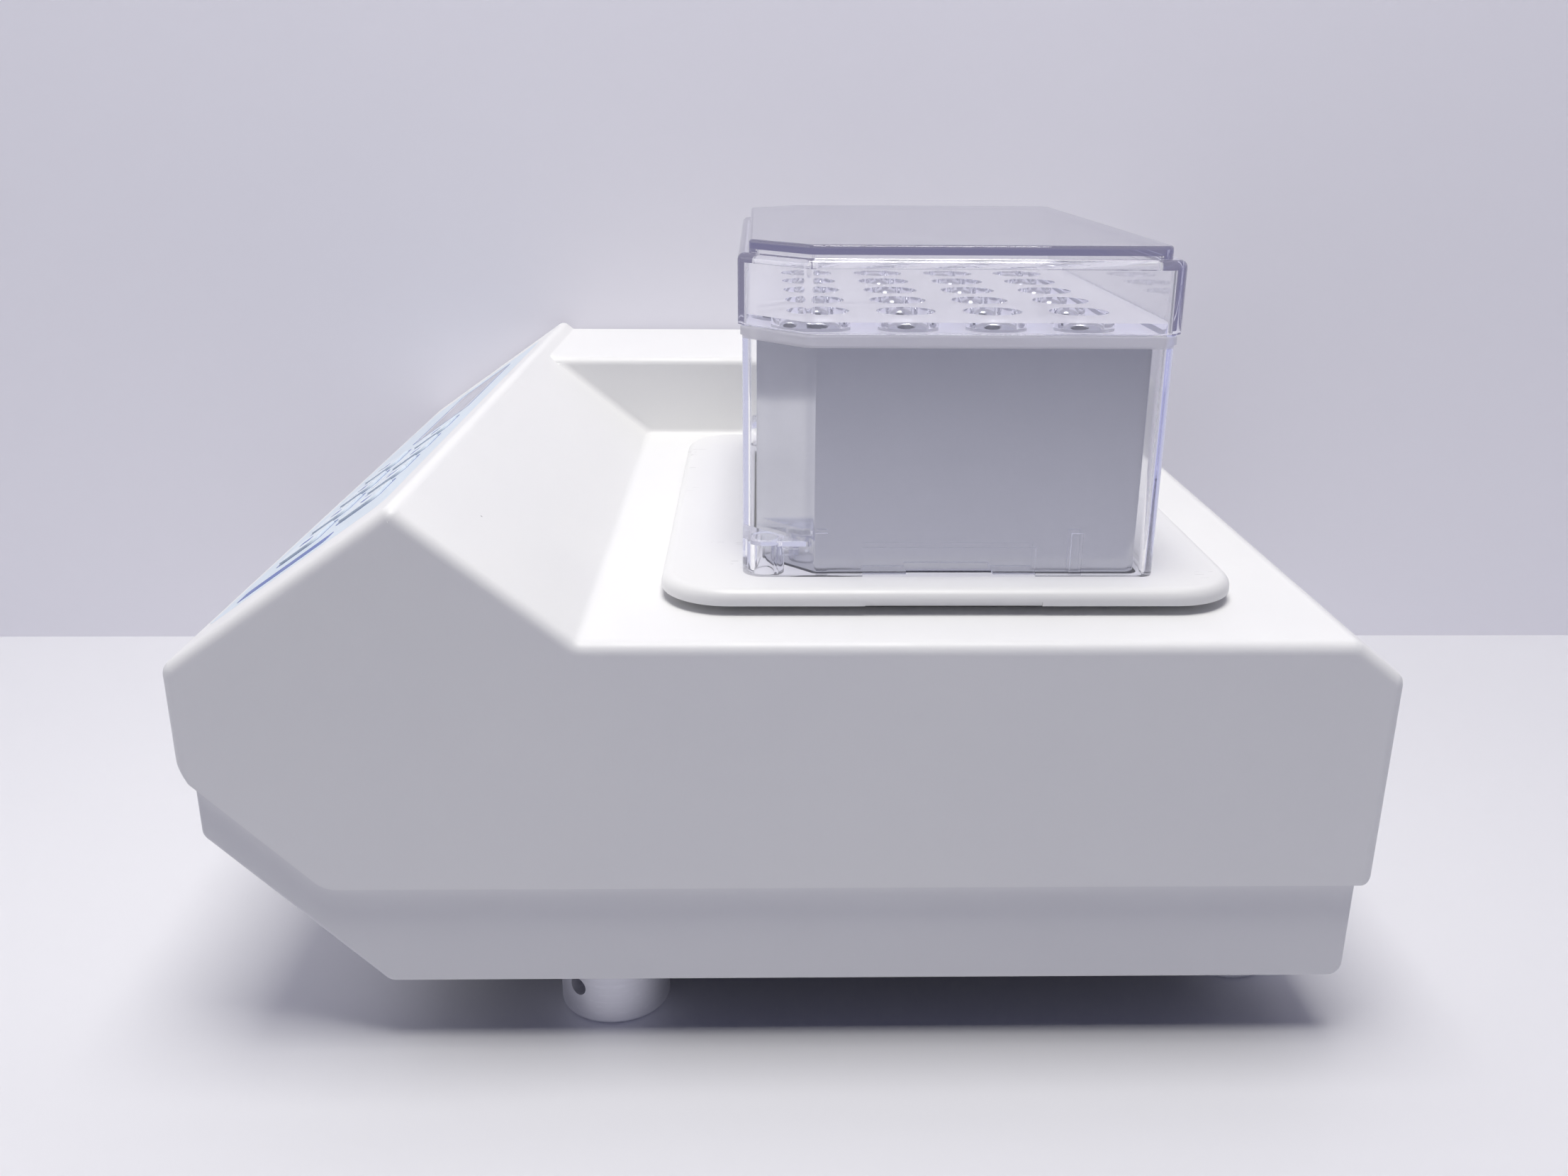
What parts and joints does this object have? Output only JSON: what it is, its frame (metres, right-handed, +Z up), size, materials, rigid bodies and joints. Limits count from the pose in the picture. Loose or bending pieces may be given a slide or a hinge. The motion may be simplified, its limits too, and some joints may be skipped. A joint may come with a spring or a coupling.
{
  "type": "dry block heater",
  "caption": "Bench-top dry block heater with a sloped control panel, a raised wing, an orbiting platform and a metal tube block under a clear rack and lid.",
  "frame": {"origin": "on the table under the middle of the overall box", "axes": "+X to the user's right, +Y to the rear, +Z up"},
  "size_m": [0.2426, 0.242, 0.1653],
  "materials": {
    "casing_white": "fine satin moulded white",
    "tray_white": "fine satin moulded white",
    "platform_white": "satin moulded white",
    "foil_blue": "printed satin foil, light blue",
    "key_blue": "embossed satin foil, pale blue",
    "display_clear": "clear tinted window",
    "display_grey": "dark display face",
    "rack_clear": "clear moulded plastic, faint violet edges",
    "lid_clear": "clear moulded plastic, faint violet edges",
    "block_aluminium": "satin anodised",
    "bare_aluminium": "machined",
    "foot_satin": "satin anodised",
    "plain_steel": "machined",
    "screw_steel": "zinc plated",
    "bearing_steel": "ground and polished",
    "bush_brass": "turned",
    "motor_black": "satin black",
    "board_green": "solder mask green",
    "mains_black": "fine grained black",
    "frame_grey": "matt insulating board",
    "mat_orange": "matt silicone"
  },
  "bodies": {
    "base": {"base_tray": "tray_white", "top_cover": "casing_white", "case_screws": "screw_steel", "chassis_plate": "plain_steel", "mechanism_screws": "screw_steel", "drive_motor": "motor_black", "idler_bushes": "bush_brass", "keypad_foil": "foil_blue", "display_window": "display_clear", "display_module": "display_grey", "control_board": "board_green", "key_switches": "mains_black", "board_screws": "screw_steel", "power_board": "board_green", "power_transformer": "motor_black", "power_capacitors": "mains_black", "power_inlet": "mains_black", "inlet_pins": "bearing_steel", "switch_housing": "mains_black"},
    "drive": {"motor_shaft": "plain_steel", "drive_crank": "plain_steel"},
    "platform": {"carriage": "bare_aluminium", "drive_bearing": "bearing_steel", "idler_bearings": "bearing_steel", "surround_frame": "frame_grey", "insulation_board": "frame_grey", "heater_mat": "mat_orange", "heater_plate": "bare_aluminium", "heater_standoffs": "bare_aluminium", "temperature_sensor": "bearing_steel", "thermal_cutout": "bearing_steel", "platform_plate": "platform_white", "tube_block": "block_aluminium", "block_screws": "screw_steel"},
    "rack": {"tube_rack": "rack_clear"},
    "lid": {"rack_lid": "lid_clear"},
    "idler_1": {"idler_crank_1": "plain_steel"},
    "idler_2": {"idler_crank_2": "plain_steel"},
    "idler_3": {"idler_crank_3": "plain_steel"},
    "idler_4": {"idler_crank_4": "plain_steel"},
    "key_1": {"key_1": "key_blue"},
    "key_2": {"key_2": "key_blue"},
    "key_3": {"key_3": "key_blue"},
    "key_4": {"key_4": "key_blue"},
    "key_5": {"key_5": "key_blue"},
    "key_6": {"key_6": "key_blue"},
    "key_7": {"key_7": "key_blue"},
    "key_8": {"key_8": "key_blue"},
    "rocker": {"power_rocker": "mains_black"},
    "fuse": {"fuse_drawer": "mains_black"},
    "stud_1": {"foot_stud_1": "plain_steel"},
    "foot_1": {"foot_1": "foot_satin"},
    "stud_2": {"foot_stud_2": "plain_steel"},
    "foot_2": {"foot_2": "foot_satin"},
    "stud_3": {"foot_stud_3": "plain_steel"},
    "foot_3": {"foot_3": "foot_satin"},
    "stud_4": {"foot_stud_4": "plain_steel"},
    "foot_4": {"foot_4": "foot_satin"}
  },
  "joints": [
    {"name": "drive_spin", "type": "hinge", "parent": "base", "child": "drive", "pos_m": [0.0336, 0.0336, 0.0626], "axis": [0, 0, 1], "continuous": true},
    {"name": "platform_swivel", "type": "hinge", "parent": "drive", "child": "platform", "pos_m": [0.0351, 0.0336, 0.0716], "axis": [0, 0, 1], "continuous": true},
    {"name": "idler_spin_1", "type": "hinge", "parent": "base", "child": "idler_1", "pos_m": [-0.0024, 0.0086, 0.0626], "axis": [0, 0, 1], "continuous": true},
    {"name": "idler_spin_2", "type": "hinge", "parent": "base", "child": "idler_2", "pos_m": [0.0696, 0.0086, 0.0626], "axis": [0, 0, 1], "continuous": true},
    {"name": "idler_spin_3", "type": "hinge", "parent": "base", "child": "idler_3", "pos_m": [-0.0024, 0.0586, 0.0626], "axis": [0, 0, 1], "continuous": true},
    {"name": "idler_spin_4", "type": "hinge", "parent": "base", "child": "idler_4", "pos_m": [0.0696, 0.0586, 0.0626], "axis": [0, 0, 1], "continuous": true},
    {"name": "rack_lift", "type": "slide", "parent": "platform", "child": "rack", "axis": [0, 0, 1], "range_m": [0, 0.055]},
    {"name": "lid_lift", "type": "slide", "parent": "rack", "child": "lid", "axis": [0, 0, 1], "range_m": [0, 0.03]},
    {"name": "key_1_press", "type": "slide", "parent": "base", "child": "key_1", "axis": [0, 0.5709, -0.821], "range_m": [0, 0.00035], "stiffness_N_per_m": 600},
    {"name": "key_2_press", "type": "slide", "parent": "base", "child": "key_2", "axis": [0, 0.5709, -0.821], "range_m": [0, 0.00035], "stiffness_N_per_m": 600},
    {"name": "key_3_press", "type": "slide", "parent": "base", "child": "key_3", "axis": [0, 0.5709, -0.821], "range_m": [0, 0.00035], "stiffness_N_per_m": 600},
    {"name": "key_4_press", "type": "slide", "parent": "base", "child": "key_4", "axis": [0, 0.5709, -0.821], "range_m": [0, 0.00035], "stiffness_N_per_m": 600},
    {"name": "key_5_press", "type": "slide", "parent": "base", "child": "key_5", "axis": [0, 0.5709, -0.821], "range_m": [0, 0.00035], "stiffness_N_per_m": 600},
    {"name": "key_6_press", "type": "slide", "parent": "base", "child": "key_6", "axis": [0, 0.5709, -0.821], "range_m": [0, 0.00035], "stiffness_N_per_m": 600},
    {"name": "key_7_press", "type": "slide", "parent": "base", "child": "key_7", "axis": [0, 0.5709, -0.821], "range_m": [0, 0.00035], "stiffness_N_per_m": 600},
    {"name": "key_8_press", "type": "slide", "parent": "base", "child": "key_8", "axis": [0, 0.5709, -0.821], "range_m": [0, 0.00035], "stiffness_N_per_m": 600},
    {"name": "rocker_tilt", "type": "hinge", "parent": "base", "child": "rocker", "pos_m": [-0.086, 0.117, 0.095], "axis": [0, 0, 1], "range_deg": [-16, 0]},
    {"name": "fuse_pull", "type": "slide", "parent": "base", "child": "fuse", "axis": [0, 1, 0], "range_m": [0, 0.016]},
    {"name": "foot_1_lift", "type": "slide", "parent": "base", "child": "stud_1", "axis": [0, 0, 1], "range_m": [-0.00375, 0]},
    {"name": "foot_1_turn", "type": "hinge", "parent": "stud_1", "child": "foot_1", "pos_m": [0.1008, -0.0383, 0.008], "axis": [0, 0, 1], "range_deg": [-1080, 0]},
    {"name": "foot_2_lift", "type": "slide", "parent": "base", "child": "stud_2", "axis": [0, 0, 1], "range_m": [-0.00375, 0]},
    {"name": "foot_2_turn", "type": "hinge", "parent": "stud_2", "child": "foot_2", "pos_m": [-0.1008, -0.0383, 0.008], "axis": [0, 0, 1], "range_deg": [-1080, 0]},
    {"name": "foot_3_lift", "type": "slide", "parent": "base", "child": "stud_3", "axis": [0, 0, 1], "range_m": [-0.00375, 0]},
    {"name": "foot_3_turn", "type": "hinge", "parent": "stud_3", "child": "foot_3", "pos_m": [0.0858, 0.104, 0.008], "axis": [0, 0, 1], "range_deg": [-1080, 0]},
    {"name": "foot_4_lift", "type": "slide", "parent": "base", "child": "stud_4", "axis": [0, 0, 1], "range_m": [-0.00375, 0]},
    {"name": "foot_4_turn", "type": "hinge", "parent": "stud_4", "child": "foot_4", "pos_m": [-0.0858, 0.104, 0.008], "axis": [0, 0, 1], "range_deg": [-1080, 0]}
  ],
  "couplings": [
    {"joint": "platform_swivel", "follows": "drive_spin", "ratio": -1},
    {"joint": "idler_spin_1", "follows": "drive_spin", "ratio": 1},
    {"joint": "idler_spin_2", "follows": "drive_spin", "ratio": 1},
    {"joint": "idler_spin_3", "follows": "drive_spin", "ratio": 1},
    {"joint": "idler_spin_4", "follows": "drive_spin", "ratio": 1},
    {"joint": "foot_1_turn", "follows": "foot_1_lift", "rad_per_m": 5026.5},
    {"joint": "foot_2_turn", "follows": "foot_2_lift", "rad_per_m": 5026.5},
    {"joint": "foot_3_turn", "follows": "foot_3_lift", "rad_per_m": 5026.5},
    {"joint": "foot_4_turn", "follows": "foot_4_lift", "rad_per_m": 5026.5}
  ]
}
